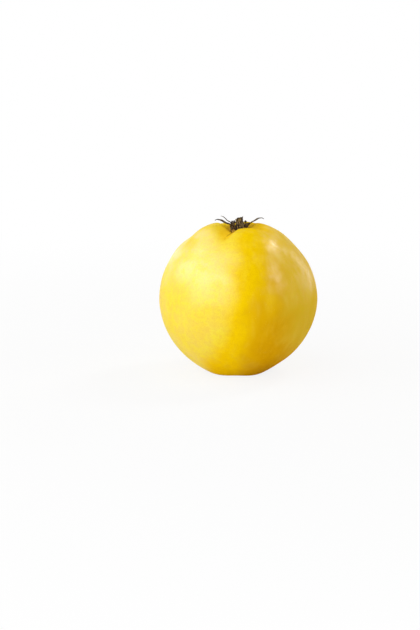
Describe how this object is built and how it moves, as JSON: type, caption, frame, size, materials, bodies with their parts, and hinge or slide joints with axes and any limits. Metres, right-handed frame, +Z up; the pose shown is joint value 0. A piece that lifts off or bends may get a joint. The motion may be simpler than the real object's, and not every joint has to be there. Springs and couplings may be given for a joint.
{
  "type": "quince",
  "caption": "Ripe apple-shaped quince standing on its stalk end, with lobed shoulders, a basin with the dried flower on top and a hollow with a broken stalk stub underneath.",
  "frame": {"origin": "middle of the foot that the fruit stands on, on the surface that it rests on", "axes": "+Z up along the core line, from the stalk end to the flower end; -Y is the front, and +X is to the right as seen from the front"},
  "size_m": [0.0855, 0.0845, 0.0846],
  "materials": {
    "quince_skin": "satin",
    "dried_cup": "matte",
    "dried_sepal": "matte",
    "dried_stamen": "matte",
    "dried_style": "matte",
    "stalk_wood": "matte"
  },
  "bodies": {
    "root": {"fruit": "quince_skin", "flower_cup": "dried_cup", "sepal_front": "dried_sepal", "sepal_right": "dried_sepal", "sepal_back_right": "dried_sepal", "sepal_back_left": "dried_sepal", "sepal_left": "dried_sepal", "stamen_1": "dried_stamen", "stamen_2": "dried_stamen", "stamen_3": "dried_stamen", "stamen_4": "dried_stamen", "stamen_5": "dried_stamen", "stamen_6": "dried_stamen", "stamen_7": "dried_stamen", "stamen_8": "dried_stamen", "stamen_9": "dried_stamen", "stamen_10": "dried_stamen", "stamen_11": "dried_stamen", "stamen_12": "dried_stamen", "stamen_13": "dried_stamen", "stamen_14": "dried_stamen", "stamen_15": "dried_stamen", "stamen_16": "dried_stamen", "stamen_17": "dried_stamen", "stamen_18": "dried_stamen", "stamen_19": "dried_stamen", "stamen_20": "dried_stamen", "style_1": "dried_style", "style_2": "dried_style", "style_3": "dried_style", "style_4": "dried_style", "style_5": "dried_style", "stalk_stub": "stalk_wood"}
  },
  "joints": []
}
